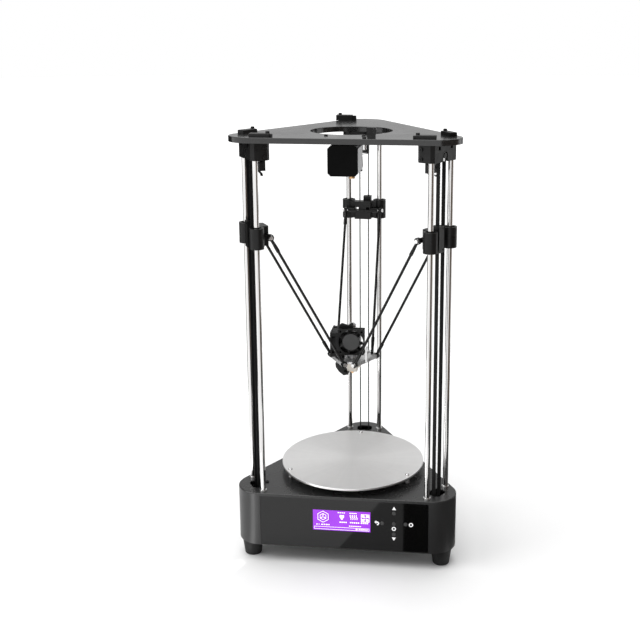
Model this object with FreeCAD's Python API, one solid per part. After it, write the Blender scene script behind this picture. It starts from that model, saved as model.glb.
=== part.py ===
import FreeCAD, Part
import math
import os

# Delta printer: three towers of two round rods each between a low housing and a top plate.
# Millimetres. Origin on the vertical machine axis at the height of the foot undersides.
# +Z up, -Y towards the display panel. Towers: A at 210 deg, B at 330 deg, C at 90 deg.

V = FreeCAD.Vector
os.makedirs("parts", exist_ok=True)

# ---------------------------------------------------------------- driving dimensions
TOWERS = {"a": 210.0, "b": 330.0, "c": 90.0}
ROD_R = 4.0                 # guide rods, 8 mm
ROD_CIRCLE = 155.0          # radius of the rod pair centres
ROD_HALF = 25.0             # half spacing of a rod pair
OUT_CIRCLE = 148.0          # centres of the rounded corners
OUT_R = 35.5                # corner radius of the outline
FOOT_CIRCLE = 165.0
FOOT_H = 27.0
BASE_Z0 = 27.0
COVER_Z0, COVER_Z1 = 107.2, 109.7
SHEET = 2.5                 # housing wall
PLATE_Z0, PLATE_Z1 = 627.3, 635.3
PLATE_HOLE_R = 60.0
BRACKET_Z0 = 602.6
BED_R, BED_Z0, BED_Z1 = 110.0, 120.5, 123.5
BED_SCREW_CIRCLE = 103.0
CAR_Z = 492.75              # carriage mid height
CAR_H = 30.0
SLEEVE_R = 10.25
BALL_CIRCLE = 136.0         # upper ball joints
BALL_HALF = 27.5            # half spacing of an arm pair
EFF_CIRCLE = 25.0           # lower ball joints
HEAD_DZ = -2.6               # drop of the whole print head
EFF_Z = 292.0 + HEAD_DZ
BALL_R = 2.9
EYE_R = 3.3                 # bore of a rod end round its ball
OPEN_EYE_R = 3.75           # the same at the upper ends of the A and B arms
ARM_R = 2.0
MOTOR = 42.3
MOTOR_Z = 58.0              # axis of the drive pulleys
IDLER_Z = 611.0             # axis of the idlers
PULLEY_R = 5.9
BELT_IN, BELT_OUT = 6.2, 7.6
PANEL_X = 125.0
PANEL_Z0, PANEL_Z1 = 28.4, 105.8
FRONT_Y = -109.5
LCD_X, LCD_Z, LCD_W, LCD_H = -3.0, 72.3, 85.8, 32.6
BUTTONS = {"up": (74.4, 88.9), "enter": (74.4, 72.2), "down": (74.4, 55.5),
           "left": (57.2, 72.2), "right": (91.6, 72.2)}
BUTTON_R = 2.85
EXT_X, EXT_Z = 0.5, 603.45  # extruder shaft
FIL_X, FIL_Y = 5.6, -41.0   # filament line
FAN_X, FAN_Z, FAN_Y = 0.5, 322.8, -22.6   # hot end fan, centre and front face
PFAN_X, PFAN_Y, PFAN_Z = -31.2, -2.0, 317.0  # part fan, front face and centre


# ---------------------------------------------------------------- helpers
def box(x0, x1, y0, y1, z0, z1):
    return Part.makeBox(x1 - x0, y1 - y0, z1 - z0, V(x0, y0, z0))


def cyl(r, x, y, z0, z1):
    return Part.makeCylinder(r, z1 - z0, V(x, y, z0), V(0, 0, 1))


def cylx(r, x0, x1, y, z):
    return Part.makeCylinder(r, x1 - x0, V(x0, y, z), V(1, 0, 0))


def cyly(r, x, y0, y1, z):
    return Part.makeCylinder(r, y1 - y0, V(x, y0, z), V(0, 1, 0))


def rod(r, p, q):
    p, q = V(*p), V(*q)
    return Part.makeCylinder(r, (q - p).Length, p, q - p)


def fuse(shapes):
    s = shapes[0]
    if len(shapes) > 1:
        s = s.multiFuse(shapes[1:])
    return s.removeSplitter()


def cut(s, tools):
    if isinstance(tools, list):
        tools = tools[0] if len(tools) == 1 else tools[0].multiFuse(tools[1:])
    return s.cut(tools)


def turn(s, deg, centre=(0, 0, 0), axis=(0, 0, 1)):
    s = s.copy()
    s.rotate(V(*centre), V(*axis), deg)
    return s


def at(s, tower):
    return turn(s, TOWERS[tower])


def move(s, x, y, z):
    s = s.copy()
    s.translate(V(x, y, z))
    return s


def outline(r):
    edges = []
    pts = []
    for t in (90.0, 210.0, 330.0):
        a = math.radians(t)
        c = V(OUT_CIRCLE * math.cos(a), OUT_CIRCLE * math.sin(a), 0)
        p = [c + V(r * math.cos(a + math.radians(d)), r * math.sin(a + math.radians(d)), 0) for d in (-60, 0, 60)]
        pts.append(p)
    for i in range(3):
        p = pts[i]
        edges.append(Part.Arc(p[0], p[1], p[2]).toShape())
        edges.append(Part.LineSegment(p[2], pts[(i + 1) % 3][0]).toShape())
    return Part.Face(Part.Wire(edges))


def prism(r, z0, z1):
    f = outline(r)
    f.translate(V(0, 0, z0))
    return f.extrude(V(0, 0, z1 - z0))


def poly_y(points, y0, y1):
    """Closed polygon in X and Z, extruded along Y."""
    w = Part.makePolygon([V(x, y0, z) for x, z in points] + [V(points[0][0], y0, points[0][1])])
    return Part.Face(w).extrude(V(0, y1 - y0, 0))


def poly_z(points, z0, z1):
    w = Part.makePolygon([V(x, y, z0) for x, y in points] + [V(points[0][0], points[0][1], z0)])
    return Part.Face(w).extrude(V(0, 0, z1 - z0))


def bevel_box(x0, x1, y0, y1, z0, z1, b):
    return poly_z([(x0 + b, y0), (x1 - b, y0), (x1, y0 + b), (x1, y1 - b), (x1 - b, y1), (x0 + b, y1), (x0, y1 - b), (x0, y0 + b)], z0, z1)


def motor_body(length, chamfer=4.2):
    """Square motor, face at z = 0 with its boss above, body below."""
    h = MOTOR / 2
    b = bevel_box(-h, h, -h, h, -length, 0, chamfer)
    b = fuse([b, cyl(11, 0, 0, 0, 2.0)])
    return cut(b, [cyl(2.7, 0, 0, -12, 3)])


def write(name, shape):
    solids = shape if isinstance(shape, list) else [shape]
    flat = []
    for s in solids:
        flat += s.Solids if s.Solids else [s]
    out = flat[0] if len(flat) == 1 else Part.makeCompound(flat)
    out.exportStep("parts/" + name + ".step")


def rad_point(deg, r, t):
    a = math.radians(deg)
    return (r * math.cos(a) - t * math.sin(a), r * math.sin(a) + t * math.cos(a))


# ---------------------------------------------------------------- housing
def base_housing():
    s = cut(prism(OUT_R, BASE_Z0, COVER_Z0), [prism(OUT_R - SHEET, BASE_Z0 + 2.0, COVER_Z0 + 1)])
    window = box(-PANEL_X, PANEL_X, FRONT_Y - 1, FRONT_Y + SHEET, PANEL_Z0, PANEL_Z1)
    s = cut(s, [window])
    frame = box(-127, 127, FRONT_Y + SHEET, FRONT_Y + SHEET + 2, BASE_Z0 + 1, COVER_Z0)
    frame = cut(frame, [box(-119, 119, FRONT_Y, FRONT_Y + 8, 34, 100.5)])
    s = fuse([s, frame])
    tools = []
    # rear right wall (normal at 30 deg): opening of the inlet
    tools.append(turn(box(105, 112, -13.6, 13.6, 44.6, 93.4), 30))
    # rear left wall (normal at 150 deg): vents and the two blanked data openings
    for k in range(9):
        y = -52 + k * 8.0
        tools.append(turn(box(105, 112, y, y + 3.2, 50, 90), 150))
    # shallow recesses that mark the data socket and the card slot
    tools.append(turn(box(108.1, 112, 34, 46.2, 44, 55.5), 150))
    tools.append(turn(box(108.1, 112, 26.5, 53.5, 64, 67.5), 150))
    for k in range(7):
        y = -85 + k * 7.5
        tools.append(turn(box(105, 112, y, y + 3.0, 50, 90), 30))
    # floor vents
    for k in range(7):
        tools.append(box(-45, 45, -38 + k * 14.0, -34 + k * 14.0, 26, 30))
    for t in TOWERS.values():
        x, y = rad_point(t, FOOT_CIRCLE, 0)
        tools.append(cyl(2.1, x, y, 26, 30))
    return cut(s, tools)


def base_top_cover():
    s = prism(OUT_R, COVER_Z0, COVER_Z1)
    top = [e for e in s.Edges if abs(e.BoundBox.ZMin - COVER_Z1) < 1e-6 and abs(e.BoundBox.ZMax - COVER_Z1) < 1e-6]
    s = s.makeFillet(1.3, top)
    parts, tools = [s], []
    for t in TOWERS.values():
        for sg in (-1, 1):
            x, y = rad_point(t, ROD_CIRCLE, sg * ROD_HALF)
            parts.append(cyl(5.3, x, y, COVER_Z0, COVER_Z1 + 2.0))
            tools.append(cyl(ROD_R + 0.15, x, y, COVER_Z0 - 1, COVER_Z1 + 4))
        slot = bevel_box(145, 166, -12.5, 12.5, COVER_Z0 - 1, COVER_Z1 + 1, 4.5)
        tools.append(turn(slot, t))
        x, y = rad_point(t, 140.5, 0)
        tools.append(cyl(1.6, x, y, COVER_Z0 - 1, COVER_Z1 + 1))
        x, y = rad_point(t, BED_SCREW_CIRCLE, 0)
        tools.append(cyl(1.8, x, y, COVER_Z0 - 1, COVER_Z1 + 1))
    tools.append(cyl(7, 0, 60, COVER_Z0 - 1, COVER_Z1 + 1))
    return cut(fuse(parts), tools)


def rubber_feet():
    out = []
    for t in TOWERS.values():
        x, y = rad_point(t, FOOT_CIRCLE, 0)
        f = Part.makeCone(12.4, 16.0, FOOT_H, V(x, y, 0), V(0, 0, 1))
        low = [e for e in f.Edges if e.BoundBox.ZMax < 0.01]
        f = f.makeFillet(2.2, low)
        f = cut(f, [cyl(2.1, x, y, -1, 30), cyl(4.6, x, y, -1, 6)])
        out.append(f)
    return out


def front_panel():
    s = box(-PANEL_X, PANEL_X, FRONT_Y, FRONT_Y + SHEET, PANEL_Z0, PANEL_Z1)
    edges = [e for e in s.Edges if abs(e.BoundBox.YMin - FRONT_Y) < 1e-6 and abs(e.BoundBox.YMax - FRONT_Y) < 1e-6]
    s = s.makeChamfer(0.35, edges)
    tools = [box(LCD_X - LCD_W / 2, LCD_X + LCD_W / 2, FRONT_Y - 1, FRONT_Y + 4, LCD_Z - LCD_H / 2, LCD_Z + LCD_H / 2)]
    for x, z in BUTTONS.values():
        tools.append(cyly(BUTTON_R + 0.25, x, FRONT_Y - 1, FRONT_Y + 4, z))
    return cut(s, tools)


def lcd_display():
    glass = box(LCD_X - LCD_W / 2 + 0.15, LCD_X + LCD_W / 2 - 0.15, FRONT_Y + 0.3, FRONT_Y + 2.7, LCD_Z - LCD_H / 2 + 0.15, LCD_Z + LCD_H / 2 - 0.15)
    body = box(LCD_X - 46, LCD_X + 46, FRONT_Y + 2.6, FRONT_Y + 9.5, LCD_Z - 19.5, LCD_Z + 19.5)
    board = box(LCD_X - 49, LCD_X + 49, FRONT_Y + 9.5, FRONT_Y + 11.1, LCD_Z - 27, LCD_Z + 27)
    return fuse([glass, body, board])


def button(x, z):
    s = cyly(BUTTON_R, x, FRONT_Y - 0.9, FRONT_Y + 5.0, z)
    e = [k for k in s.Edges if k.BoundBox.YMax < FRONT_Y - 0.8]
    s = s.makeFillet(0.45, e)
    s = fuse([s, cyly(4.2, x, FRONT_Y + 3.1, FRONT_Y + 4.3, z)])
    return fuse([s, cyly(1.5, x, FRONT_Y + 5.0, FRONT_Y + 7.6, z)])


def control_board():
    y0 = FRONT_Y + 11.9
    b = box(49.5, 104, y0, y0 + 1.6, 44, 100)
    parts = [b]
    for x, z in BUTTONS.values():
        parts.append(box(x - 3, x + 3, y0 - 2.4, y0, z - 3, z + 3))
        parts.append(cyly(1.7, x, y0 - 3.4, y0 - 2.4, z))
    parts.append(box(52, 70, y0 + 1.6, y0 + 9, 47, 54))
    return fuse(parts)


def mainboard():
    z = 37.0
    b = box(-52, 52, -84, -6, z, z + 1.6)
    parts = [b]
    for x in (-48, 48):
        for y in (-80, -10):
            parts.append(cyl(2.8, x, y, BASE_Z0 + 2, z))
    for k in range(4):
        parts.append(box(-42 + k * 21, -30 + k * 21, -30, -18, z + 1.6, z + 11))
    for k in range(3):
        parts.append(cyl(4, 38, -60 + k * 12, z + 1.6, z + 14))
    parts.append(box(-50, -20, -82, -72, z + 1.6, z + 11))
    parts.append(box(-10, 4, -56, -42, z + 1.6, z + 4.0))
    parts.append(box(8, 46, -82, -72, z + 1.6, z + 10))
    return fuse(parts)


def power_supply():
    s = box(-52, 50, 3, 83, BASE_Z0 + 2, BASE_Z0 + 38)
    inner = box(-50.6, 48.6, 4.4, 81.6, BASE_Z0 + 3.4, BASE_Z0 + 36.6)
    tools = [inner]
    for k in range(10):
        tools.append(box(-44 + k * 9, -40 + k * 9, 10, 76, BASE_Z0 + 36, BASE_Z0 + 39))
    case = cut(s, tools)
    coil = cyl(14, 10, 42, BASE_Z0 + 3.4, BASE_Z0 + 26)
    caps = [cyl(7, -34, 24, BASE_Z0 + 3.4, BASE_Z0 + 30), cyl(7, -34, 60, BASE_Z0 + 3.4, BASE_Z0 + 30)]
    return fuse([case, coil] + caps + [box(50.0, 58.0, 8, 78, BASE_Z0 + 8, BASE_Z0 + 20)])


def power_inlet():
    s = box(84, 109.5, -13.3, 13.3, 45, 93)
    s = fuse([s, box(109.5, 111.7, -15.5, 15.5, 42.5, 95.5)])
    sock = box(94, 113, -12.0, 12.0, 48.5, 65.5)
    rocker = box(96, 113, -6.7, 6.7, 69.6, 91.6)
    s = cut(s, [sock, rocker])
    pins = [box(93, 106, -1.0 + dx, 1.0 + dx, z - 2, z + 2) for dx, z in ((0, 60.5), (-7, 55), (7, 55))]
    s = fuse([s] + pins)
    # stub axles of the rocker
    s = fuse([s] + [box(104.6, 106.4, 5.2 * g if g > 0 else -6.8, 6.8 if g > 0 else -5.2, 79.3, 81.1) for g in (-1, 1)])
    return turn(s, 30)


def power_rocker():
    pts = [(103.0, 71.4), (110.6, 71.0), (109.9, 80.2), (112.4, 89.4), (103.0, 89.0), (101.0, 80.2)]
    wire = Part.makePolygon([V(x, -6.2, z) for x, z in pts] + [V(pts[0][0], -6.2, pts[0][1])])
    s = Part.Face(wire).extrude(V(0, 12.4, 0))
    s = cut(s, [cyly(1.75, 105.5, -7, -4.6, 80.2), cyly(1.75, 105.5, 4.6, 7, 80.2)])
    return turn(s, 30)


# ---------------------------------------------------------------- towers
def tower_rods():
    out = []
    for n, t in TOWERS.items():
        for sg in (-1, 1):
            x, y = rad_point(t, ROD_CIRCLE, sg * ROD_HALF)
            top = PLATE_Z0 - 0.3 if (n == "c" and sg == -1) else PLATE_Z1 + (6.5 if n == "c" else 4.0)
            r = cyl(ROD_R, x, y, 34.0, top)
            ends = [e for e in r.Edges if e.BoundBox.ZMax - e.BoundBox.ZMin < 1e-6]
            out.append(r.makeChamfer(0.5, ends))
    return out


def motor_mount(t):
    plate = box(146, 150, -31, 31, BASE_Z0 + 2, 98)
    foot = box(118, 150, -31, 31, BASE_Z0 + 2, 33)
    parts = [plate, foot]
    for sg in (-1, 1):
        parts.append(cyl(6.4, ROD_CIRCLE, sg * ROD_HALF, BASE_Z0 + 2, 98))
        parts.append(box(146, 154, sg * ROD_HALF - 6.2, sg * ROD_HALF + 6.2, BASE_Z0 + 2, 98))
        parts.append(box(118, 148, sg * 29.5 - 1.5, sg * 29.5 + 1.5, BASE_Z0 + 2, 60))
    s = fuse(parts)
    tools = [cylx(11.2, 140, 152, 0, MOTOR_Z)]
    for sg in (-1, 1):
        tools.append(cyl(ROD_R, ROD_CIRCLE, sg * ROD_HALF, 34.0, 120))
        for g in (-1, 1):
            tools.append(cylx(1.7, 140, 152, sg * 15.5, MOTOR_Z + g * 15.5))
    # keeps clear of the panel frame of the housing
    tools.append(turn(box(-200, 200, -130, -104.6, 0, 120), -t))
    return turn(cut(s, tools), t)


def drive_motor(t):
    m = motor_body(40.0)
    m = turn(m, 90, axis=(0, 1, 0))
    return turn(move(m, 146.0, 0, MOTOR_Z), t)


def drive_pulley(t):
    s = fuse([
        cylx(2.5, 136.5, 150.5, 0, MOTOR_Z), cylx(8.0, 150.5, 151.5, 0, MOTOR_Z), cylx(PULLEY_R, 151.5, 158.5, 0, MOTOR_Z),
        cylx(8.0, 158.5, 159.5, 0, MOTOR_Z), cylx(7.4, 159.5, 166.5, 0, MOTOR_Z)])
    # set screw hole in the hub and fine belt teeth as grooves
    s = cut(s, [cyl(1.3, 163.0, 0, MOTOR_Z + 1.0, MOTOR_Z + 9)])
    grooves = []
    for k in range(20):
        a = math.radians(k * 18.0)
        grooves.append(cylx(0.42, 151.5, 158.5, PULLEY_R * math.cos(a), MOTOR_Z + PULLEY_R * math.sin(a)))
    return turn(cut(s, grooves), t)


def idler_pulley(t):
    s = fuse([cylx(8.0, 150.5, 151.5, 0, IDLER_Z), cylx(PULLEY_R, 151.5, 158.5, 0, IDLER_Z), cylx(8.0, 158.5, 159.5, 0, IDLER_Z)])
    return turn(cut(s, [cylx(2.05, 149, 161, 0, IDLER_Z)]), t)


def idler_axle(t):
    return turn(fuse([cylx(2.0, 141.0, 160.0, 0, IDLER_Z), cylx(3.6, 159.8, 161.8, 0, IDLER_Z)]), t)


def belt(t):
    """Closed belt loop: two straight runs and the two half turns round the pulleys."""
    runs = [box(152, 158, BELT_IN, BELT_OUT, MOTOR_Z, IDLER_Z), box(152, 158, -BELT_OUT, -BELT_IN, MOTOR_Z, IDLER_Z)]
    halves = []
    for z, lo, hi in ((IDLER_Z, 0, 20), (MOTOR_Z, -20, 0)):
        ring = cylx(BELT_OUT, 152, 158, 0, z).cut(cylx(BELT_IN, 151, 159, 0, z))
        halves.append(ring.common(box(150, 160, -20, 20, z + lo, z + hi)))
    return [turn(k, t) for k in runs + halves]


def corner_bracket(n, t):
    s = bevel_box(134.5, 162.0, -31.5, 31.5, BRACKET_Z0, PLATE_Z0, 4.5)
    # inner lug that carries the limit switch
    tools = [box(150.1, 159.9, -9.2, 9.2, BRACKET_Z0 - 1, 621.5)]
    tools.append(cylx(5.6, 158, 164, 0, IDLER_Z))
    tools.append(box(158, 164, -5.6, 5.6, BRACKET_Z0 - 1, IDLER_Z))
    tools.append(cylx(2.0, 140.5, 152, 0, IDLER_Z))
    for sg in (-1, 1):
        top = PLATE_Z0 - 0.3 if (n == "c" and sg == -1) else PLATE_Z1
        tools.append(cyl(ROD_R, ROD_CIRCLE, sg * ROD_HALF, BRACKET_Z0 - 1, top))
        tools.append(box(158, 164, sg * 15.4 - 2.6, sg * 15.4 + 2.6, 619.6, 624.8))
        # side wall screw bores
        for z in (607.5, 620.5):
            tools.append(Part.makeCylinder(1.5, 8, V(142.5, sg * 32, z), V(0, -sg, 0)))
    # lightening pocket on the inner side
    tools.append(box(133, 139.0, -21, 21, 606.5, 623.5))
    return turn(cut(s, tools), t)


def top_plate():
    s = cut(prism(OUT_R, PLATE_Z0, PLATE_Z1), [cyl(PLATE_HOLE_R, 0, 0, PLATE_Z0 - 1, PLATE_Z1 + 1)])
    sharp = [e for e in s.Edges if abs(e.BoundBox.ZMin - PLATE_Z1) < 1e-6 and abs(e.BoundBox.ZMax - PLATE_Z1) < 1e-6]
    s = s.makeChamfer(0.4, sharp)
    tools = []
    for n, t in TOWERS.items():
        for sg in (-1, 1):
            if n == "c" and sg == -1:
                continue
            x, y = rad_point(t, ROD_CIRCLE, sg * ROD_HALF)
            tools.append(cyl(ROD_R, x, y, PLATE_Z0 - 1, PLATE_Z1 + 1))
    for x, y in ((-26.3, -72.5), (26.3, -72.5)):
        tools.append(cyl(1.6, x, y, PLATE_Z0 - 1, PLATE_Z1 + 1))
    tools.append(cyl(1.6, 30.4, -99.0, PLATE_Z0 - 1, PLATE_Z1 + 1))
    return cut(s, tools)


CLAMPS = [("a", -1), ("a", 1), ("b", -1), ("b", 1), ("c", 1)]
CLAMP_DIR = {("a", 1): 0.0, ("b", -1): 180.0, ("a", -1): 60.0, ("b", 1): 120.0}
CLAMP_SCREW = 18.7            # from the rod to the clamp screw


def rod_clamp(n, sg):
    """Bar that pinches the end of one rod above the plate."""
    if n != "c":
        # low bar that runs inward beside the plate's edge, with a small block past its screw
        s = box(-6.5, 21.6, -5.4, 5.4, PLATE_Z1, PLATE_Z1 + 5.3)
        s = s.makeChamfer(0.6, [k for k in s.Edges if k.BoundBox.ZMin > PLATE_Z1 + 5.2])
        s = fuse([s, box(21.0, 25.0, -3.3, 3.3, PLATE_Z1, PLATE_Z1 + 4.4)])
        s = cut(s, [cyl(ROD_R, 0, 0, PLATE_Z1 - 1, PLATE_Z1 + 4.0), cyl(1.6, CLAMP_SCREW, 0, PLATE_Z1 - 1, PLATE_Z1 + 6), box(0, 26, -0.4, 0.4, PLATE_Z1 + 1.2, PLATE_Z1 + 3.4)])
        x, y = rad_point(TOWERS[n], ROD_CIRCLE, sg * ROD_HALF)
        return move(turn(s, CLAMP_DIR[n, sg]), x, y, 0)
    c = sg * 28.5
    lo, hi = c - 16, c + 16
    s = box(149.6, 160.4, lo, hi, PLATE_Z1, PLATE_Z1 + 8.7)
    e = [k for k in s.Edges if k.BoundBox.ZMin > PLATE_Z1 + 8.6]
    s = s.makeChamfer(0.7, e)
    # the inner end is narrower and lower
    inner = lo if sg > 0 else hi
    tools = []
    a, b = (inner - 1, inner + 6) if sg > 0 else (inner - 6, inner + 1)
    tools += [box(148, 152.2, a, b, PLATE_Z1 - 1, PLATE_Z1 + 10), box(157.8, 162, a, b, PLATE_Z1 - 1, PLATE_Z1 + 10), box(148, 162, a, b, PLATE_Z1 + 7.4, PLATE_Z1 + 10)]
    tools.append(cyl(ROD_R, ROD_CIRCLE, sg * ROD_HALF, PLATE_Z1 - 1, PLATE_Z1 + 6.5))
    outer = hi if sg > 0 else lo
    tools.append(cyl(1.6, ROD_CIRCLE, outer - sg * 6.0, PLATE_Z1 - 1, PLATE_Z1 + 10))
    # saw slot that lets the bar pinch
    a, b = sorted((outer + sg * 1, sg * ROD_HALF))
    tools.append(box(154.6, 155.4, a, b, PLATE_Z1 + 1.2, PLATE_Z1 + 5.5))
    return turn(cut(s, tools), TOWERS[n])


def screw(x, y, z, head_r=2.75, head_h=2.6, shank_r=1.5, length=8.0, down=True):
    """Socket head screw, head above z, shank below."""
    s = fuse([cyl(head_r, x, y, z, z + head_h), cyl(shank_r, x, y, z - length, z)])
    hexw = Part.makePolygon([V(x + 1.2 * math.cos(math.radians(60 * k)), y + 1.2 * math.sin(math.radians(60 * k)), z + head_h - 1.2) for k in range(7)])
    return s.cut(Part.Face(hexw).extrude(V(0, 0, 3)))


def frame_screws():
    out = []
    for n, sg in CLAMPS:
        if n != "c":
            x, y = rad_point(TOWERS[n], ROD_CIRCLE, sg * ROD_HALF)
            a = math.radians(CLAMP_DIR[n, sg])
            out.append(screw(x + CLAMP_SCREW * math.cos(a), y + CLAMP_SCREW * math.sin(a), PLATE_Z1 + 5.3, 2.75, 2.8, 1.5, 5.0))
            continue
        outer = sg * 28.5 + sg * 16 - sg * 6.0
        out.append(at(screw(ROD_CIRCLE, outer, PLATE_Z1 + 8.7, 2.75, 2.8, 1.5, 8.2), n))
    for n in TOWERS:
        out.append(at(screw(140.5, 0, COVER_Z1, 2.6, 1.8, 1.5, 6.0), n))
        out.append(idler_axle(TOWERS[n]))
        x, y = rad_point(TOWERS[n], FOOT_CIRCLE, 0)
        out.append(fuse([cyl(4.0, x, y, 3.4, 6.0), cyl(2.0, x, y, 6.0, 34.0), cyl(3.9, x, y, 29.0, 32.0)]))
        for sg in (-1, 1):
            for z in (607.5, 620.5):
                h = screw(0, 0, 0, 2.6, 1.9, 1.45, 7.5)
                h = turn(h, -90 * sg, axis=(1, 0, 0))
                out.append(at(move(h, 142.5, sg * 31.5, z), n))
    for x, y in ((-26.3, -72.5), (26.3, -72.5)):
        out.append(screw(x, y, PLATE_Z1, 2.6, 1.5, 1.5, 9.0))
    # bolt through the plate beside the cable clip, with its long nut below
    out.append(fuse([cyl(1.5, 30.4, -99.0, PLATE_Z0 - 9.0, PLATE_Z1), cyl(2.8, 30.4, -99.0, PLATE_Z0 - 7.6, PLATE_Z0), cyl(2.75, 30.4, -99.0, PLATE_Z1, PLATE_Z1 + 1.8)]))
    # pin of the feeder lever
    out.append(cyly(1.5, 17.0, -49.4, -34.6, 588.6))
    return out


def endstop(t):
    """Limit switch under the inner side of a bracket, with its mounting tab."""
    s = fuse([box(137.5, 143.9, -9.9, 9.9, 585.2, 597.2), box(135.0, 137.5, -9.9, 9.9, 585.2, BRACKET_Z0), box(135.0, 145.0, -9.9, 9.9, 599.4, BRACKET_Z0)])
    s = cut(s, [cylx(1.2, 136.5, 145, -4.8, 592.5), cylx(1.2, 136.5, 145, 4.8, 592.5)])
    # sprung metal lever below the switch, bent down at its free end
    pts = [(-9.6, 585.2), (-9.6, 584.0), (7.0, 581.4), (10.6, 578.4), (11.0, 578.9), (7.2, 582.0), (-8.9, 584.5), (-8.9, 585.2)]
    wire = Part.makePolygon([V(138.9, y, z) for y, z in pts] + [V(138.9, pts[0][0], pts[0][1])])
    lev = Part.Face(wire).extrude(V(3.6, 0, 0))
    return turn(fuse([s, lev]), t)


# ---------------------------------------------------------------- carriages
def carriage(t):
    z0, z1 = CAR_Z - CAR_H / 2, CAR_Z + CAR_H / 2
    parts = []
    for sg in (-1, 1):
        parts.append(cyl(SLEEVE_R, ROD_CIRCLE, sg * ROD_HALF, z0, z1))
        a, b = sorted((sg * 12.0, sg * 21.0))
        parts.append(box(142.5, 151.0, a, b, z0 + 1.5, z1 - 1.0))
    block = bevel_box(133.6, 149.2, -13.4, 13.4, z0 + 0.8, z1 - 0.8, 1.2)
    parts.append(block)
    parts.append(box(148.8, 161.0, -11.8, 0.6, z0 - 2.2, z1 + 5.8))
    parts.append(cyly(3.6, BALL_CIRCLE, -24.0, 24.0, CAR_Z))
    parts.append(box(BALL_CIRCLE - 2.4, 146.0, -22.6, 22.6, CAR_Z - 2.6, CAR_Z + 2.6))
    s = fuse(parts)
    tools = []
    for sg in (-1, 1):
        tools.append(cyl(7.5, ROD_CIRCLE, sg * ROD_HALF, z0 + 3.0, z1 + 1))
        tools.append(cyl(4.8, ROD_CIRCLE, sg * ROD_HALF, z0 - 1, z0 + 4))
        # saw cut of the sleeve on its inner side, closed by the web above it
    # channel for the clamped belt run
    tools.append(box(151.4, 158.6, -8.1, -5.7, z0 - 4, z1 + 8))
    # two windows seen from inside the frame, right through the block
    tools.append(box(130, 162, 6.6, 11.6, CAR_Z - 0.2, CAR_Z + 5.2))
    tools.append(box(130, 150, -10.6, -5.4, CAR_Z + 1.4, CAR_Z + 5.2))
    # clamp screw bores
    for z in (z0 + 2.0, z1 + 2.0):
        tools.append(cylx(1.2, 155, 162, -2.2, z))
    return turn(cut(s, tools), t)


def carriage_hardware(t):
    """Two linear bearings and the two ball pins of one carriage."""
    out = []
    z0 = CAR_Z - CAR_H / 2
    for sg in (-1, 1):
        b = cut(cyl(7.5, ROD_CIRCLE, sg * ROD_HALF, z0 + 3.0, z0 + 27.0), [cyl(ROD_R + 0.06, ROD_CIRCLE, sg * ROD_HALF, z0, z0 + 30)])
        ends = [e for e in b.Edges if e.BoundBox.ZMax - e.BoundBox.ZMin < 1e-6 and e.BoundBox.XLength > 14]
        out.append(b.makeChamfer(0.5, ends))
        out.append(ball_pin(BALL_CIRCLE, CAR_Z, sg))
    return [turn(s, t) for s in out]


def ball_pin(r, z, sg):
    a, b = sorted((sg * 24.0, sg * 31.0))
    c, d = sorted((sg * 30.6, sg * 32.6))
    s = fuse([cyly(1.5, r, a, b, z), Part.makeSphere(BALL_R, V(r, sg * BALL_HALF, z)), cyly(2.75, r, c, d, z)])
    return s


# ---------------------------------------------------------------- arms
def arm(t, sg, open_end):
    top = V(BALL_CIRCLE, sg * BALL_HALF, CAR_Z)
    low = V(EFF_CIRCLE, sg * BALL_HALF, EFF_Z)
    d = (top - low).normalize()
    r_top = OPEN_EYE_R if open_end else EYE_R
    eye_top = cyly(r_top + 1.3, top.x, top.y - 2.2, top.y + 2.2, top.z)
    eye_low = cyly(EYE_R + 1.3, low.x, low.y - 2.2, low.y + 2.2, low.z)
    a, b = low + d * 4.2, top - d * 4.6
    tube = Part.makeCylinder(ARM_R, (b - a).Length, a, d)
    neck1 = Part.makeCone(2.1, 2.7, 14.0, low + d * 4.0, d)
    neck1b = Part.makeCylinder(2.7, 6.0, low + d * 18.0, d)
    neck2 = Part.makeCone(2.1, 2.7, 14.0, top - d * 4.4, d * -1)
    neck2b = Part.makeCylinder(2.7, 6.0, top - d * 18.4, d * -1)
    s = fuse([eye_top, eye_low, tube, neck1, neck1b, neck2, neck2b])
    s = cut(s, [cyly(r_top, top.x, top.y - 4, top.y + 4, top.z), cyly(EYE_R, low.x, low.y - 4, low.y + 4, low.z)])
    return turn(s, t)


# ---------------------------------------------------------------- effector
def effector_plate():
    pts = []
    for t in (90.0, 210.0, 330.0):
        pts.append(rad_point(t, 28.0, -17.0))
        pts.append(rad_point(t, 28.0, 17.0))
    s = poly_z(pts, 290.6, 293.4)
    bars = []
    for t in TOWERS.values():
        bars.append(turn(box(22.0, 28.0, -24.0, 24.0, 289.2, 294.8), t))
    tab = box(22.2, 24.6, -22, -6, 292.0, 312.0)
    s = fuse([s] + bars + [tab])
    tools = [cyl(8.05, 0, 0, 288, 296), cylx(1.6, 20, 26, -14, 306)]
    # passage of the air duct
    tools.append(box(-20.4, -10.6, -8.6, 8.6, 288, 296))
    tools.append(cyl(3.2, 12, 14, 288, 296))
    tools.append(cyl(1.6, 13.5, -13.5, 288, 296))
    tools.append(cyl(1.6, -4, 17, 288, 296))
    return cut(s, tools)


def effector_ball_pins():
    out = []
    for t in TOWERS.values():
        for sg in (-1, 1):
            out.append(turn(ball_pin(EFF_CIRCLE, EFF_Z, sg), t))
    return out


def hotend_heatsink():
    parts = [cyl(8.0, 0, 0, 289.4, 294.6), cyl(4.2, 0, 0, 286.4, 346.0), cyl(6.0, 0, 0, 338.0, 344.0)]
    for k in range(11):
        z = 296.5 + k * 3.7
        parts.append(cyl(11.0, 0, 0, z, z + 1.5))
    parts.append(cyl(3.0, 0, 0, 283.0, 287.0))
    s = fuse(parts)
    return cut(s, [cyl(2.05, 0, 0, 312.0, 347.0)])


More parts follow.
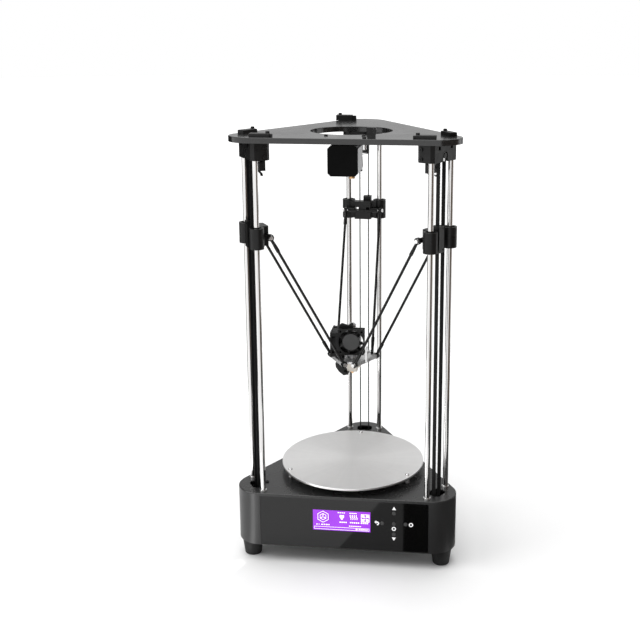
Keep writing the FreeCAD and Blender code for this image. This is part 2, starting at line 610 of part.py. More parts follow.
def heater_block():
    s = box(-8, 8, -8, 12, 271.5, 283.0)
    e = [k for k in s.Edges if k.BoundBox.ZLength > 11]
    s = s.makeChamfer(0.6, e)
    # cartridge heater standing out of the block's back, clamp slot
    s = fuse([s, cylx(2.9, -11.4, 11.4, 6.6, 276.6)])
    return cut(s, [box(-9, 9, 6.4, 6.9, 270, 274.0), cyl(1.2, 5.0, -5.0, 280.5, 284)])


def nozzle():
    hexw = Part.makePolygon([V(3.7 * math.cos(math.radians(60 * k)), 3.7 * math.sin(math.radians(60 * k)), 268.9) for k in range(7)])
    s = fuse([Part.Face(hexw).extrude(V(0, 0, 2.6)), Part.makeCone(0.55, 2.9, 2.9, V(0, 0, 266.0), V(0, 0, 1))])
    return cut(s, [cyl(0.2, 0, 0, 265, 268)])


def fan_frame():
    """40 mm fan frame: front face at y = 0, back at y = 10, axis along Y."""
    s = box(-20, 20, 0, 10, -20, 20)
    e = [k for k in s.Edges if k.BoundBox.YLength > 9]
    s = s.makeFillet(2.5, e)
    s = cut(s, [cyly(18.7, 0, -1, 11, 0)])
    # the sides are recessed between the two flanges
    ring = cut(cyly(28, 0, 2.2, 7.8, 0), [cyly(19.9, 0, 1, 9, 0)])
    corners = []
    for sx in (-1, 1):
        for sz in (-1, 1):
            corners.append(cyly(3.6, sx * 16, 2.2, 7.8, sz * 16))
    ring = cut(ring, corners)
    s = cut(s, [ring])
    hub = fuse([cyly(9.5, 0, 7.6, 10, 0), cyly(1.5, 0, 4.0, 8, 0)])
    struts = [turn(box(8, 19.2, 8.0, 9.8, -1.3, 1.3), a, axis=(0, 1, 0)) for a in (45, 135, 225, 315)]
    s = fuse([s, hub] + struts)
    holes = [cyly(1.6, sx * 16, -1, 11, sz * 16) for sx in (-1, 1) for sz in (-1, 1)]
    return cut(s, holes)


def fan_rotor():
    s = cyly(13.2, 0, 0.7, 6.9, 0)
    e = [k for k in s.Edges if k.BoundBox.YMax < 0.8]
    s = s.makeFillet(0.8, e)
    blades = []
    for k in range(7):
        b = box(12.4, 18.1, 0.6, 1.6, -3.6, 3.6)
        b = turn(b, 38, centre=(14, 3.6, 0), axis=(1, 0, 0))
        b = move(b, 0, 1.1, 0)
        blades.append(turn(b, k * 360.0 / 7, axis=(0, 1, 0)))
    s = fuse([s] + blades)
    s = s.common(box(-19, 19, 0.6, 6.9, -19, 19))
    return cut(s, [cyly(1.56, 0, 3.5, 8, 0), cut(cyly(11.8, 0, 2.2, 8, 0), [cyly(3.2, 0, 2.2, 8, 0)])])


def place_front(s):
    return move(s, FAN_X, FAN_Y, FAN_Z)


def place_side(s):
    return move(turn(s, -90), PFAN_X, PFAN_Y, PFAN_Z)


def fan_bracket_duct():
    """Moulded carrier clipped round the heatsink: holds both fans and blows the side fan's air to the nozzle."""
    y_b = FAN_Y + 10
    front = box(-19.5, 20.5, y_b, y_b + 1.6, 302.8, 342.8)
    front = cut(front, [cyly(17.8, FAN_X, y_b - 1, y_b + 3, FAN_Z)])
    # clip that wraps the fins, open at the back
    clip = cut(box(-13.0, 13.0, y_b, 6.0, 306.0, 336.0), [cyl(11.35, 0, 0, 300, 345)])
    clip = cut(clip, [cyly(10.8, FAN_X, y_b - 2, 0, 321.0)])
    side = cut(box(-21.2, -19.6, -22.0, 18.0, 297.0, 337.0), [cylx(17.8, -23, -19, PFAN_Y, PFAN_Z)])
    hood = box(-19.7, -13.6, -12.0, 12.0, 297.0, 330.0)
    hood = cut(hood, [box(-20.5, -14.8, -10.8, 10.8, 298.0, 328.8)])
    link = box(-19.7, -12.5, -11.4, -9.0, 300.0, 336.0)
    top = poly_y([(-19.0, 341.0), (-19.0, 345.2), (-14.6, 349.0), (-9.2, 347.4), (-4.6, 346.0), (-0.8, 349.4), (3.0, 349.4), (3.0, 341.0)], y_b, y_b + 3.0)
    chute = box(-19.6, -11.6, -7.8, 7.8, 284.0, 298.0)
    scoop = poly_y([(-19.6, 288.0), (-24.6, 285.6), (-23.8, 279.5), (-18.8, 272.3), (-12.0, 267.0), (-4.8, 268.4), (-5.4, 270.6), (-8.6, 271.1), (-11.6, 272.4), (-11.6, 288.0)], -14.0, 7.8)
    inner = poly_y([(-18.4, 287.0), (-23.4, 284.9), (-22.7, 279.9), (-17.9, 273.2), (-12.0, 268.1), (-3.5, 269.5), (-3.5, 270.1), (-8.8, 270.3), (-12.7, 272.0), (-12.7, 287.0)], -12.9, 6.7)
    s = fuse([front, clip, side, hood, link, top, chute, scoop])
    s = cut(s, [fuse([inner, box(-18.4, -12.7, -6.6, 6.6, 286.0, 300.0)])])
    solids = sorted(s.Solids, key=lambda k: -k.Volume)
    return solids[0]


# ---------------------------------------------------------------- extruder under the top plate
def extruder_motor():
    m = motor_body(48.0)
    m = turn(m, -90, axis=(1, 0, 0))
    return move(m, EXT_X, -51.5, EXT_Z)


def extruder_bracket():
    up = box(EXT_X - 21.1, EXT_X + 21.1, -51.5, -49.5, 583.0, PLATE_Z0)
    flange = box(-30.5, 31.5, -80.0, -49.5, PLATE_Z0 - 2.0, PLATE_Z0)
    s = fuse([up, flange])
    tools = [cyly(11.1, EXT_X, -53, -48, EXT_Z)]
    for x, y in ((-26.3, -72.5), (26.3, -72.5)):
        tools.append(cyl(1.6, x, y, 620, 630))
    for sx in (-1, 1):
        for sz in (-1, 1):
            tools.append(cyly(1.6, EXT_X + 15.5 * sx, -53, -48, EXT_Z + 15.5 * sz))
    s = cut(s, tools)
    # cable clip that stands on the plate near its front edge
    clip = fuse([box(35.4, 46.2, -109.0, -99.5, PLATE_Z1, PLATE_Z1 + 6.5), box(34.6, 47.2, -108.4, -100.5, PLATE_Z1 + 6.0, PLATE_Z1 + 15.4)])
    clip = cut(clip, [cylx(1.9, 30, 50, -104.5, PLATE_Z1 + 10.6), box(43.6, 44.6, -110, -98, PLATE_Z1 + 8.0, PLATE_Z1 + 16)])
    return [s, clip]


def feeder_body():
    plate = box(EXT_X - 21.1, EXT_X + 21.1, -49.5, -46.4, 583.0, 624.5)
    low = box(-12.0, 10.6, -46.4, -34.5, 583.0, 594.6)
    left = box(-20.6, -8.0, -46.4, -34.5, 583.0, 624.5)
    up = box(-12.0, 9.0, -46.4, -34.5, 613.6, 624.5)
    s = fuse([plate, low, left, up])
    tools = [cyly(11.1, EXT_X, -50, -46, EXT_Z), cyl(1.2, FIL_X, FIL_Y, 580, 630), cyl(3.0, FIL_X, FIL_Y, 580, 589.0), cyly(5.6, EXT_X, -47, -34, EXT_Z)]
    tools.append(Part.makeCone(1.2, 3.0, 4.0, V(FIL_X, FIL_Y, 620.6), V(0, 0, 1)))
    tools.append(cyly(1.62, 17.0, -50, -46, 588.6))
    for sx in (-1, 1):
        for sz in (-1, 1):
            if sx == 1 and sz == -1:
                continue
            tools.append(cyly(1.6, EXT_X + 15.5 * sx, -50, -30, EXT_Z + 15.5 * sz))
    return cut(s, tools)


def feeder_gear():
    s = fuse([cyly(2.5, EXT_X, -62.0, -35.0, EXT_Z), cyly(4.2, EXT_X, -45.8, -36.0, EXT_Z)])
    teeth = []
    for k in range(26):
        a = math.radians(k * 360.0 / 26)
        teeth.append(cyly(0.28, EXT_X + 4.25 * math.cos(a), -43.2, -38.6, EXT_Z + 4.25 * math.sin(a)))
    return cut(s, teeth)


def feeder_lever():
    pts = [(12.6, 586.4), (14.8, 584.4), (19.2, 584.4), (21.4, 588.0), (20.6, 600.0), (19.4, 612.0), (22.4, 619.0), (32.4, 633.4), (33.0, 638.6),
           (28.8, 640.6), (24.6, 638.0), (16.6, 624.0), (13.2, 616.0), (12.9, 609.6), (11.0, 609.0), (11.0, 597.6), (12.9, 597.0)]
    s = poly_y(pts, -45.8, -35.4)
    s = cut(s, [cyly(1.56, 17.0, -47, -34, 588.6), cut(cyly(5.5, 11.9, -43.6, -38.2, EXT_Z), [cyly(1.6, 11.9, -44, -38, EXT_Z)])])
    bearing = cut(cyly(5.0, 11.9, -43.2, -38.6, EXT_Z), [cyly(1.66, 11.9, -44, -37, EXT_Z)])
    return [s, bearing]


def tube_fitting():
    hexw = Part.makePolygon([V(FIL_X + 5.2 * math.cos(math.radians(60 * k)), FIL_Y + 5.2 * math.sin(math.radians(60 * k)), 578.4) for k in range(7)])
    s = fuse([cyl(2.98, FIL_X, FIL_Y, 583.0, 588.8), Part.Face(hexw).extrude(V(0, 0, 4.6)), cyl(4.6, FIL_X, FIL_Y, 575.6, 578.4), cyl(3.4, FIL_X, FIL_Y, 572.6, 575.6), cyl(4.7, FIL_X, FIL_Y, 571.4, 572.8)])
    return cut(s, [cyl(2.08, FIL_X, FIL_Y, 570, 584.0), cyl(1.1, FIL_X, FIL_Y, 583, 590)])


# ---------------------------------------------------------------- bed
def heated_bed():
    s = cyl(BED_R, 0, 0, BED_Z0, BED_Z1)
    e = [k for k in s.Edges if k.BoundBox.ZLength < 1e-6]
    s = s.makeChamfer(0.35, e)
    tools = []
    for t in TOWERS.values():
        x, y = rad_point(t, BED_SCREW_CIRCLE, 0)
        tools.append(cyl(1.5, x, y, BED_Z0 - 1, BED_Z1 + 1))
        tools.append(Part.makeCone(1.5, 3.1, 1.6, V(x, y, BED_Z1 - 1.6), V(0, 0, 1)))
    return cut(s, tools)


def bed_screws():
    out = []
    for t in TOWERS.values():
        x, y = rad_point(t, BED_SCREW_CIRCLE, 0)
        s = fuse([cyl(1.5, x, y, 98.0, BED_Z1 - 1.6), Part.makeCone(1.5, 3.1, 1.6, V(x, y, BED_Z1 - 1.6), V(0, 0, 1))])
        nut = Part.makePolygon([V(x + 3.1 * math.cos(math.radians(60 * k)), y + 3.1 * math.sin(math.radians(60 * k)), 101.4) for k in range(7)])
        s = fuse([s, Part.Face(nut).extrude(V(0, 0, 4.0))])
        hexw = Part.makePolygon([V(x + 1.0 * math.cos(math.radians(60 * k)), y + 1.0 * math.sin(math.radians(60 * k)), BED_Z1 - 1.0) for k in range(7)])
        out.append(s.cut(Part.Face(hexw).extrude(V(0, 0, 2))))
    return out


def bed_springs():
    z0, z1 = COVER_Z1 + 0.55, BED_Z0 - 0.55
    path = Part.makeLongHelix((z1 - z0) / 4.5, z1 - z0, 2.9)
    sweep = Part.BRepOffsetAPI.MakePipeShell(Part.Wire(path.Edges))
    sweep.setFrenetMode(True)
    sweep.add(Part.Wire([Part.makeCircle(0.45, V(2.9, 0, 0), V(0, 1, 0))]))
    sweep.build()
    sweep.makeSolid()
    coil = sweep.shape()
    out = []
    for t in TOWERS.values():
        x, y = rad_point(t, BED_SCREW_CIRCLE, 0)
        out.append(move(coil, x, y, z0))
    return out


# ---------------------------------------------------------------- write every node
write("base_housing", base_housing())
write("base_top_cover", base_top_cover())
write("rubber_feet", rubber_feet())
write("front_panel", front_panel())
write("lcd_display", lcd_display())
for _n, (_x, _z) in BUTTONS.items():
    write("button_" + _n, button(_x, _z))
write("control_board", control_board())
write("mainboard", mainboard())
write("power_supply", power_supply())
write("power_inlet", power_inlet())
write("power_rocker", power_rocker())
write("tower_rods", tower_rods())
write("top_plate", top_plate())
write("corner_brackets", [corner_bracket(n, t) for n, t in TOWERS.items()])
write("rod_clamps", [rod_clamp(n, s) for n, s in CLAMPS])
write("frame_screws", frame_screws())
write("motor_mounts", [motor_mount(t) for t in TOWERS.values()])
write("drive_motors", [drive_motor(t) for t in TOWERS.values()])
write("drive_belts", [k for t in TOWERS.values() for k in belt(t)])
write("endstop_switches", [endstop(t) for t in TOWERS.values()])
for _n, _t in TOWERS.items():
    write("drive_pulley_" + _n, drive_pulley(_t))
    write("idler_pulley_" + _n, idler_pulley(_t))
    write("carriage_" + _n, carriage(_t))
    write("carriage_hardware_" + _n, carriage_hardware(_t))
for _n in ("a", "b"):
    for _side, _sg in (("inner", -1), ("outer", 1)):
        write("arm_%s_%s" % (_n, _side), arm(TOWERS[_n], _sg, True))
write("arms_c", [arm(TOWERS["c"], -1, False), arm(TOWERS["c"], 1, False)])
write("effector_plate", move(effector_plate(), 0, 0, HEAD_DZ))
write("effector_ball_pins", effector_ball_pins())
write("hotend_heatsink", move(hotend_heatsink(), 0, 0, HEAD_DZ))
write("heater_block", move(heater_block(), 0, 0, HEAD_DZ))
write("nozzle", move(nozzle(), 0, 0, HEAD_DZ))
write("hotend_fan_frame", move(place_front(fan_frame()), 0, 0, HEAD_DZ))
write("hotend_fan_rotor", move(place_front(fan_rotor()), 0, 0, HEAD_DZ))
write("part_fan_frame", move(place_side(fan_frame()), 0, 0, HEAD_DZ))
write("part_fan_rotor", move(place_side(fan_rotor()), 0, 0, HEAD_DZ))
write("fan_bracket_duct", move(fan_bracket_duct(), 0, 0, HEAD_DZ))
write("extruder_motor", extruder_motor())
write("extruder_bracket", extruder_bracket())
write("feeder_body", feeder_body())
write("feeder_gear", feeder_gear())
write("feeder_lever", feeder_lever())
write("tube_fitting", tube_fitting())
write("heated_bed", heated_bed())
write("bed_screws", bed_screws())
write("bed_springs", bed_springs())
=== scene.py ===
import bpy, bmesh, math
from mathutils import Matrix, Vector


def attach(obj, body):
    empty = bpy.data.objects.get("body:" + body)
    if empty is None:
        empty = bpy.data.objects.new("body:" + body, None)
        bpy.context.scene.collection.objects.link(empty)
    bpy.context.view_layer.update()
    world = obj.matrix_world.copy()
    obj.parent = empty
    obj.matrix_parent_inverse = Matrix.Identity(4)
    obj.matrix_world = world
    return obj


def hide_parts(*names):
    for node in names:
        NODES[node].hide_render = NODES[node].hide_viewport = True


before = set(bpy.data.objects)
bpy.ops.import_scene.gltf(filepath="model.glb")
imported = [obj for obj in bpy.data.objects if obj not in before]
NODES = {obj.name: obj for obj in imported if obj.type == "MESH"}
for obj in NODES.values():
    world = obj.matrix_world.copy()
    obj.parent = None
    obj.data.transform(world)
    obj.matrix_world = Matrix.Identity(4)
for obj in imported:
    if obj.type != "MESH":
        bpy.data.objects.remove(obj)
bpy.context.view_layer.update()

MM = 0.001
TOWERS = {"a": 210.0, "b": 330.0, "c": 90.0}

scene = bpy.context.scene
scene.view_settings.view_transform = "Standard"
scene.view_settings.look = "None"


# ------------------------------------------------------------ node helpers
class Graph:
    def __init__(self, name):
        self.mat = bpy.data.materials.new(name)
        self.mat.use_nodes = True
        self.nt = self.mat.node_tree
        self.nt.nodes.clear()
        out = self.nt.nodes.new("ShaderNodeOutputMaterial")
        self.bsdf = self.nt.nodes.new("ShaderNodeBsdfPrincipled")
        self.link(self.bsdf.outputs[0], out.inputs[0])
        self.coord = self.nt.nodes.new("ShaderNodeTexCoord").outputs["Object"]

    def link(self, a, b):
        self.nt.links.new(a, b)

    def feed(self, value, socket):
        if isinstance(value, bpy.types.NodeSocket):
            self.link(value, socket)
        else:
            socket.default_value = value

    def stretch(self, scale, rot=(0, 0, 0), loc=(0, 0, 0), vector=None):
        n = self.nt.nodes.new("ShaderNodeMapping")
        n.inputs["Location"].default_value = loc
        n.inputs["Rotation"].default_value = rot
        n.inputs["Scale"].default_value = scale
        self.link(vector or self.coord, n.inputs["Vector"])
        return n.outputs[0]

    def noise(self, scale, detail=3.0, rough=0.5, vector=None, distortion=0.0):
        n = self.nt.nodes.new("ShaderNodeTexNoise")
        n.inputs["Scale"].default_value = scale
        n.inputs["Detail"].default_value = detail
        n.inputs["Roughness"].default_value = rough
        n.inputs["Distortion"].default_value = distortion
        self.link(vector or self.coord, n.inputs["Vector"])
        return n.outputs["Fac"]

    def voronoi(self, scale, vector=None, feature="F1"):
        n = self.nt.nodes.new("ShaderNodeTexVoronoi")
        n.feature = feature
        n.inputs["Scale"].default_value = scale
        self.link(vector or self.coord, n.inputs["Vector"])
        return n.outputs["Distance"]

    def ramp(self, fac, stops):
        n = self.nt.nodes.new("ShaderNodeValToRGB")
        el = n.color_ramp.elements
        while len(el) > 1:
            el.remove(el[0])
        el[0].position = stops[0][0]
        el[0].color = self.rgba(stops[0][1])
        for p, c in stops[1:]:
            e = el.new(p)
            e.color = self.rgba(c)
        self.link(fac, n.inputs[0])
        return n.outputs[0]

    @staticmethod
    def rgba(c):
        if isinstance(c, (int, float)):
            return (c, c, c, 1)
        return (c[0], c[1], c[2], 1)

    def mix(self, fac, a, b, mode="MIX"):
        n = self.nt.nodes.new("ShaderNodeMix")
        n.data_type = "RGBA"
        n.blend_type = mode
        self.feed(fac, n.inputs[0])
        for v, s in ((a, n.inputs[6]), (b, n.inputs[7])):
            self.feed(v if isinstance(v, bpy.types.NodeSocket) else self.rgba(v), s)
        return n.outputs[2]

    def math(self, op, a, b=0.0, c=0.0):
        n = self.nt.nodes.new("ShaderNodeMath")
        n.operation = op
        self.feed(a, n.inputs[0])
        self.feed(b, n.inputs[1])
        self.feed(c, n.inputs[2])
        return n.outputs[0]

    def remap(self, v, a, b, c, d):
        n = self.nt.nodes.new("ShaderNodeMapRange")
        self.feed(v, n.inputs[0])
        for i, x in enumerate((a, b, c, d)):
            n.inputs[i + 1].default_value = x
        return n.outputs[0]

    def xyz(self, vector=None):
        n = self.nt.nodes.new("ShaderNodeSeparateXYZ")
        self.link(vector or self.coord, n.inputs[0])
        return n.outputs

    def bump(self, height, strength, distance, normal=None):
        n = self.nt.nodes.new("ShaderNodeBump")
        n.inputs["Strength"].default_value = strength
        n.inputs["Distance"].default_value = distance
        self.link(height, n.inputs["Height"])
        if normal:
            self.link(normal, n.inputs["Normal"])
        return n.outputs[0]

    def set(self, **kw):
        names = {"color": "Base Color", "rough": "Roughness", "metal": "Metallic", "normal": "Normal",
                 "coat": "Coat Weight", "coat_rough": "Coat Roughness", "spec": "Specular IOR Level",
                 "aniso": "Anisotropic", "aniso_rot": "Anisotropic Rotation", "tangent": "Tangent",
                 "glow": "Emission Color", "glow_strength": "Emission Strength", "sheen": "Sheen Weight",
                 "ior": "IOR", "sheen_rough": "Sheen Roughness"}
        for k, v in kw.items():
            s = self.bsdf.inputs[names[k]]
            if s.type == "RGBA" and not isinstance(v, bpy.types.NodeSocket):
                v = self.rgba(v)
            self.feed(v, s)
        return self.mat


def surface(name, light, dark, rough, metal=0.0, scale=45.0, stretch=(1, 1, 1), spread=0.07,
            grain=1800.0, grain_strength=0.05, grain_dist=0.00005, spec=0.5, coat=0.0, coat_rough=0.1):
    """A surface with broad colour drift, roughness drift and a fine grain."""
    g = Graph(name)
    v = g.stretch(stretch)
    broad = g.noise(scale, 4, 0.55, v)
    fine = g.noise(scale * 9, 3, 0.6, v)
    both = g.math("ADD", g.math("MULTIPLY", broad, 0.7), g.math("MULTIPLY", fine, 0.3))
    col = g.ramp(both, [(0.32, dark), (0.68, light)])
    r = g.remap(g.noise(scale * 2.7, 3, 0.6, v), 0.3, 0.7, max(rough - spread, 0.02), min(rough + spread, 1.0))
    n = g.bump(g.noise(grain, 2, 0.5), grain_strength, grain_dist)
    return g.set(color=col, rough=r, metal=metal, normal=n, spec=spec, coat=coat, coat_rough=coat_rough)


# ------------------------------------------------------------ materials
def housing_paint(name="housing_paint", light=(0.019, 0.019, 0.019), dark=(0.013, 0.013, 0.013), rough=0.36):
    g = Graph(name)
    broad = g.noise(9, 3, 0.5)
    specks = g.voronoi(1400)
    col = g.ramp(g.math("ADD", g.math("MULTIPLY", broad, 0.8), g.math("MULTIPLY", specks, 0.25)),
                 [(0.3, dark), (0.75, light)])
    x, y, z = g.xyz()
    foot = g.remap(z, 0.027, 0.045, 0.06, 0.0)  # a little dust and handling low on the walls
    r = g.math("ADD", g.remap(g.noise(26, 4, 0.6), 0.3, 0.7, rough - 0.05, rough + 0.06), foot)
    n = g.bump(g.noise(1500, 2, 0.5), 0.05, 0.00006)
    return g.set(color=col, rough=r, normal=n, spec=0.5, coat=0.15, coat_rough=0.3)


def gloss_black(name="gloss_black", tint=0.0018):
    g = Graph(name)
    smudge = g.noise(22, 5, 0.65, distortion=0.6)
    wipe = g.noise(30, 3, 0.6, g.stretch((0.4, 1, 4), rot=(0, 0.5, 0)))
    r = g.math("ADD", g.remap(smudge, 0.35, 0.7, 0.035, 0.09), g.remap(wipe, 0.4, 0.75, 0.0, 0.035))
    col = g.ramp(g.noise(14, 3, 0.5), [(0.3, tint), (0.7, tint * 1.5)])
    n = g.bump(g.noise(60, 2, 0.4), 0.02, 0.00012)
    return g.set(color=col, rough=r, normal=n, spec=0.5)


def plate_gloss():
    g = Graph("plate_gloss")
    haze = g.noise(18, 5, 0.6, distortion=0.4)
    scuff = g.noise(90, 4, 0.7, g.stretch((1, 0.25, 1), rot=(0, 0, 0.6)))
    r = g.math("ADD", g.remap(haze, 0.3, 0.7, 0.16, 0.24), g.remap(scuff, 0.55, 0.8, 0.0, 0.05))
    col = g.ramp(haze, [(0.3, 0.006), (0.7, 0.010)])
    n = g.bump(g.noise(700, 2, 0.4), 0.03, 0.00005)
    return g.set(color=col, rough=r, normal=n, spec=0.6, coat=0.25, coat_rough=0.12)


def rod_chrome():
    g = Graph("rod_chrome")
    lines = g.noise(900, 3, 0.6, g.stretch((1, 1, 0.02)))
    rings = g.noise(420, 2, 0.5, g.stretch((0.02, 0.02, 1)))
    col = g.ramp(lines, [(0.3, (0.70, 0.69, 0.68)), (0.7, (0.80, 0.795, 0.79))])
    r = g.math("ADD", g.remap(lines, 0.3, 0.7, 0.05, 0.1), g.remap(rings, 0.4, 0.7, 0.0, 0.03))
    n = g.bump(lines, 0.02, 0.00003)
    return g.set(color=col, rough=r, metal=1.0, normal=n)


def bright_metal(name, light, dark, rough, grain=(1, 1, 1), scale=260.0, aniso=0.0):
    g = Graph(name)
    v = g.stretch(grain)
    streak = g.noise(scale, 4, 0.6, v)
    broad = g.noise(30, 3, 0.5)
    col = g.ramp(g.math("ADD", g.math("MULTIPLY", streak, 0.6), g.math("MULTIPLY", broad, 0.4)), [(0.32, dark), (0.68, light)])
    r = g.remap(streak, 0.3, 0.7, max(rough - 0.07, 0.03), rough + 0.07)
    n = g.bump(streak, 0.06, 0.00004)
    return g.set(color=col, rough=r, metal=1.0, normal=n, aniso=aniso)


def bed_turned():
    """Round plate with a turned finish: fine circular marks that stretch a highlight along the radius, and radial
    streaks of painted highlight in the colour.
    """
    g = Graph("bed_turned")
    x, y, z = g.xyz()
    radius = g.math("SQRT", g.math("ADD", g.math("MULTIPLY", x, x), g.math("MULTIPLY", y, y)))
    combine = g.nt.nodes.new("ShaderNodeCombineXYZ")
    g.link(radius, combine.inputs[0])
    marks = g.noise(1500, 4, 0.7, combine.outputs[0])
    bands = g.noise(160, 3, 0.6, combine.outputs[0])
    angle = g.math("ARCTAN2", y, x)
    ca, sa = g.math("COSINE", angle), g.math("SINE", angle)
    fan = g.nt.nodes.new("ShaderNodeCombineXYZ")
    g.link(ca, fan.inputs[0]); g.link(sa, fan.inputs[1])
    # painted highlight: radial streaks in the base colour stand in for the highlight the turned finish throws along
    # the radius
    radial_painted_highlight = g.noise(9, 4, 0.65, fan.outputs[0])
    mottled = g.noise(55, 4, 0.6)
    f = g.math("ADD", g.math("MULTIPLY", marks, 0.35), g.math("ADD", g.math("MULTIPLY", bands, 0.2), g.math("ADD", g.math("MULTIPLY", radial_painted_highlight, 0.3), g.math("MULTIPLY", mottled, 0.15))))
    col = g.ramp(f, [(0.3, (0.70, 0.695, 0.69)), (0.7, (0.80, 0.795, 0.79))])
    r = g.remap(f, 0.3, 0.7, 0.36, 0.46)
    n = g.bump(marks, 0.10, 0.00005)
    tan = g.nt.nodes.new("ShaderNodeTangent")
    tan.direction_type = "RADIAL"
    tan.axis = "Z"
    return g.set(color=col, rough=r, metal=1.0, normal=n, aniso=0.22, tangent=tan.outputs[0])


def lcd_glow():
    g = Graph("lcd_glow")
    x, y, z = g.xyz()
    # backlight a little stronger towards the lower left, dots of the display as a fine raster
    cx = g.math("MULTIPLY", g.math("SINE", g.math("MULTIPLY", x, 2 * math.pi / 0.00068)), 0.5)
    cz = g.math("MULTIPLY", g.math("SINE", g.math("MULTIPLY", z, 2 * math.pi / 0.00068)), 0.5)
    raster = g.math("ADD", g.math("MULTIPLY", cx, cz), 0.5)
    drift = g.noise(28, 2, 0.4)
    f = g.math("ADD", g.math("MULTIPLY", raster, 0.25), g.math("MULTIPLY", drift, 0.8))
    col = g.ramp(f, [(0.2, (0.34, 0.030, 0.80)), (0.8, (0.47, 0.055, 1.0))])
    return g.set(color=(0.05, 0.01, 0.09), glow=col, glow_strength=0.92, rough=0.25, spec=0.5)


def ink(name, value, glow):
    g = Graph(name)
    col = g.ramp(g.noise(600, 3, 0.6), [(0.3, value * 0.93), (0.7, value)])
    return g.set(color=col, glow=col, glow_strength=glow, rough=0.45)


def board():
    g = Graph("board_green")
    v = g.stretch((1, 1, 1))
    cells = g.voronoi(260, v, "DISTANCE_TO_EDGE")
    tracks = g.math("LESS_THAN", cells, 0.06)
    base = g.ramp(g.noise(60, 3, 0.5), [(0.3, (0.004, 0.05, 0.02)), (0.7, (0.008, 0.085, 0.03))])
    col = g.mix(tracks, base, (0.02, 0.16, 0.06))
    n = g.bump(tracks, 0.3, 0.00004)
    return g.set(color=col, rough=0.35, normal=n)


def brass():
    g = Graph("brass_turned")
    v = g.stretch((1, 1, 6))
    f = g.noise(400, 4, 0.6, v)
    col = g.ramp(f, [(0.3, (0.62, 0.36, 0.16)), (0.7, (0.86, 0.56, 0.30))])
    return g.set(color=col, rough=g.remap(f, 0.3, 0.7, 0.2, 0.32), metal=1.0, normal=g.bump(f, 0.08, 0.00004))


def laminated():
    """Stacked steel sheets of a motor body, stacked along Y."""
    g = Graph("motor_laminated")
    x, y, z = g.xyz()
    sheets = g.math("SINE", g.math("MULTIPLY", y, 2 * math.pi / 0.0010))
    dirt = g.noise(90, 4, 0.6)
    col = g.ramp(g.math("ADD", g.math("MULTIPLY", sheets, 0.18), dirt), [(0.25, (0.17, 0.17, 0.175)), (0.75, (0.31, 0.31, 0.32))])
    n = g.bump(sheets, 0.35, 0.00008)
    return g.set(color=col, rough=0.38, metal=0.9, normal=n)


M = {
    "housing": housing_paint(),
    "cover": housing_paint("cover_paint", (0.024, 0.024, 0.024), (0.017, 0.017, 0.017), 0.27),
    "rubber": surface("rubber_foot", 0.014, 0.008, 0.55, scale=60, grain=900, grain_strength=0.25, grain_dist=0.0001, spec=0.3),
    "panel": gloss_black("panel_gloss"),
    "lcd": lcd_glow(),
    "lcd_ink": ink("lcd_ink", 0.95, 0.9),
    # the printed panel icons get a painted glow: emission 0.35 makes them brighter, though they give off no light of
    # their own
    "icon_ink_painted_glow": ink("icon_ink_painted_glow", 0.85, 0.35),
    "button": surface("button_grey", 0.060, 0.045, 0.5, scale=120, grain=1500, grain_strength=0.12),
    "board": board(),
    "sheet": bright_metal("sheet_steel", (0.62, 0.62, 0.62), (0.5, 0.5, 0.5), 0.42, grain=(1, 8, 1)),
    "inlet": surface("inlet_plastic", 0.030, 0.022, 0.48, scale=80, grain=1600, grain_strength=0.12),
    "rod": rod_chrome(),
    "plate": plate_gloss(),
    "moulded": surface("moulded_black", 0.010, 0.005, 0.34, scale=55, grain=1500, grain_strength=0.10, spec=0.28),
    "moulded_soft": surface("moulded_fan", 0.011, 0.006, 0.4, scale=70, grain=1700, grain_strength=0.12, spec=0.22),
    "hub": surface("fan_hub_label", 0.046, 0.036, 0.42, scale=50, grain=1200, grain_strength=0.06),
    "screw": surface("screw_black_oxide", 0.045, 0.020, 0.34, metal=0.85, scale=150, grain=1600, grain_strength=0.08),
    "screw_bright": bright_metal("screw_bright", (0.85, 0.85, 0.85), (0.68, 0.68, 0.68), 0.22),
    "bearing": bright_metal("bearing_steel", (0.72, 0.72, 0.71), (0.55, 0.55, 0.55), 0.24, grain=(1, 1, 7)),
    "ball": bright_metal("ball_polished", (0.96, 0.96, 0.95), (0.86, 0.86, 0.86), 0.3),
    "motor": surface("motor_cap", 0.0022, 0.0012, 0.35, scale=40, grain=1000, grain_strength=0.15, spec=0.06),
    "laminated": laminated(),
    "belt": surface("belt_rubber", 0.009, 0.005, 0.6, scale=150, stretch=(1, 1, 0.2), grain=1400, grain_strength=0.25, grain_dist=0.00008, spec=0.2),
    "pulley": bright_metal("pulley_turned", (0.80, 0.80, 0.80), (0.62, 0.62, 0.62), 0.28, grain=(1, 1, 1)),
    "arm": surface("arm_black", 0.008, 0.004, 0.26, scale=130, stretch=(1, 1, 0.15), grain=1300, grain_strength=0.1, spec=0.3),
    "effector": bright_metal("effector_brushed", (0.86, 0.86, 0.86), (0.70, 0.70, 0.70), 0.3, grain=(12, 1, 1), aniso=0.3),
    "sink": bright_metal("sink_milled", (0.80, 0.80, 0.81), (0.62, 0.62, 0.63), 0.3, grain=(1, 1, 8)),
    "heater": bright_metal("heater_block", (0.66, 0.63, 0.58), (0.44, 0.40, 0.36), 0.36),
    "brass": brass(),
    "bed": bed_turned(),
    "spring": bright_metal("spring_bright", (0.90, 0.90, 0.90), (0.74, 0.74, 0.74), 0.2),
}


